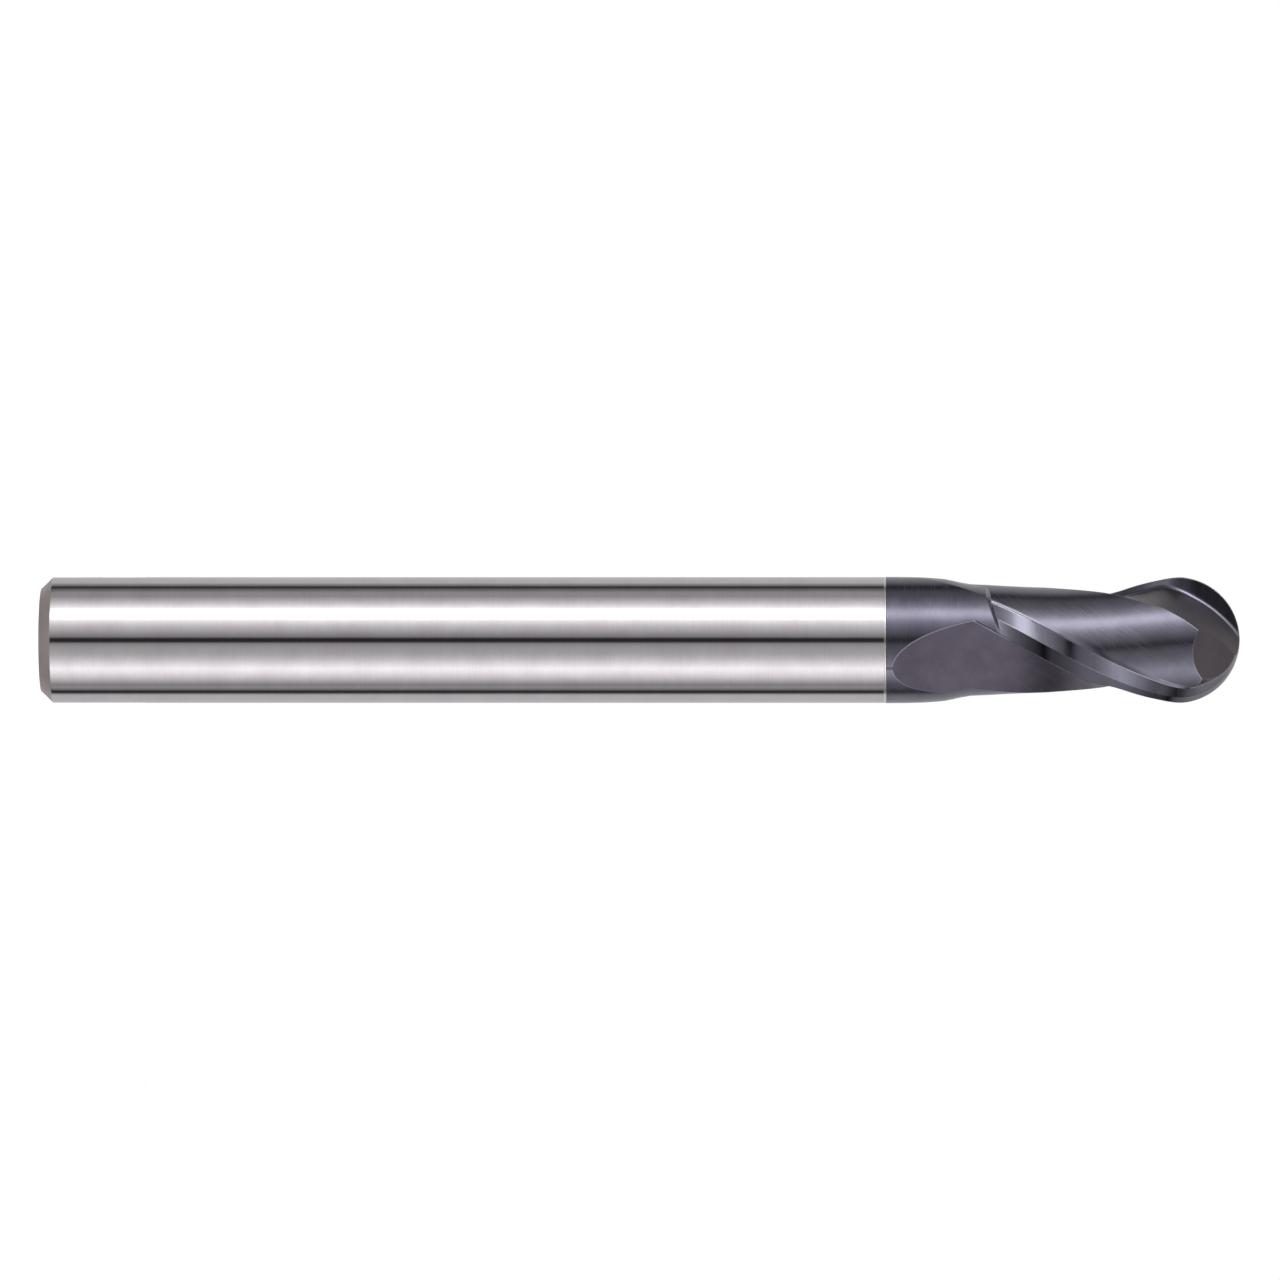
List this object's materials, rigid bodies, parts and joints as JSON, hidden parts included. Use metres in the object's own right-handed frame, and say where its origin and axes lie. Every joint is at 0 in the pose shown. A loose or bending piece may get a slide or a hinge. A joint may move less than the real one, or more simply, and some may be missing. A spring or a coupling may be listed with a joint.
{
  "type": "ball nose end mill",
  "caption": "Solid round ball-nose end mill: plain polished shank, dark coated helical-fluted head and hemispherical cutting end.",
  "frame": {"origin": "centre of the flat end face of the shank, which the tool stands on", "axes": "+Z along the tool's axis towards the ball; on the ball the cutting edges lie in the XZ plane"},
  "size_m": [0.006, 0.006, 0.057],
  "materials": {
    "ground_shank": "polished ground metal",
    "silver_braze": "bright silver braze",
    "dark_coating": "dark violet-grey thin hard coating over ground metal"
  },
  "bodies": {
    "root": {"shank": "ground_shank", "braze_joint": "silver_braze", "cutting_head": "dark_coating"}
  },
  "joints": []
}
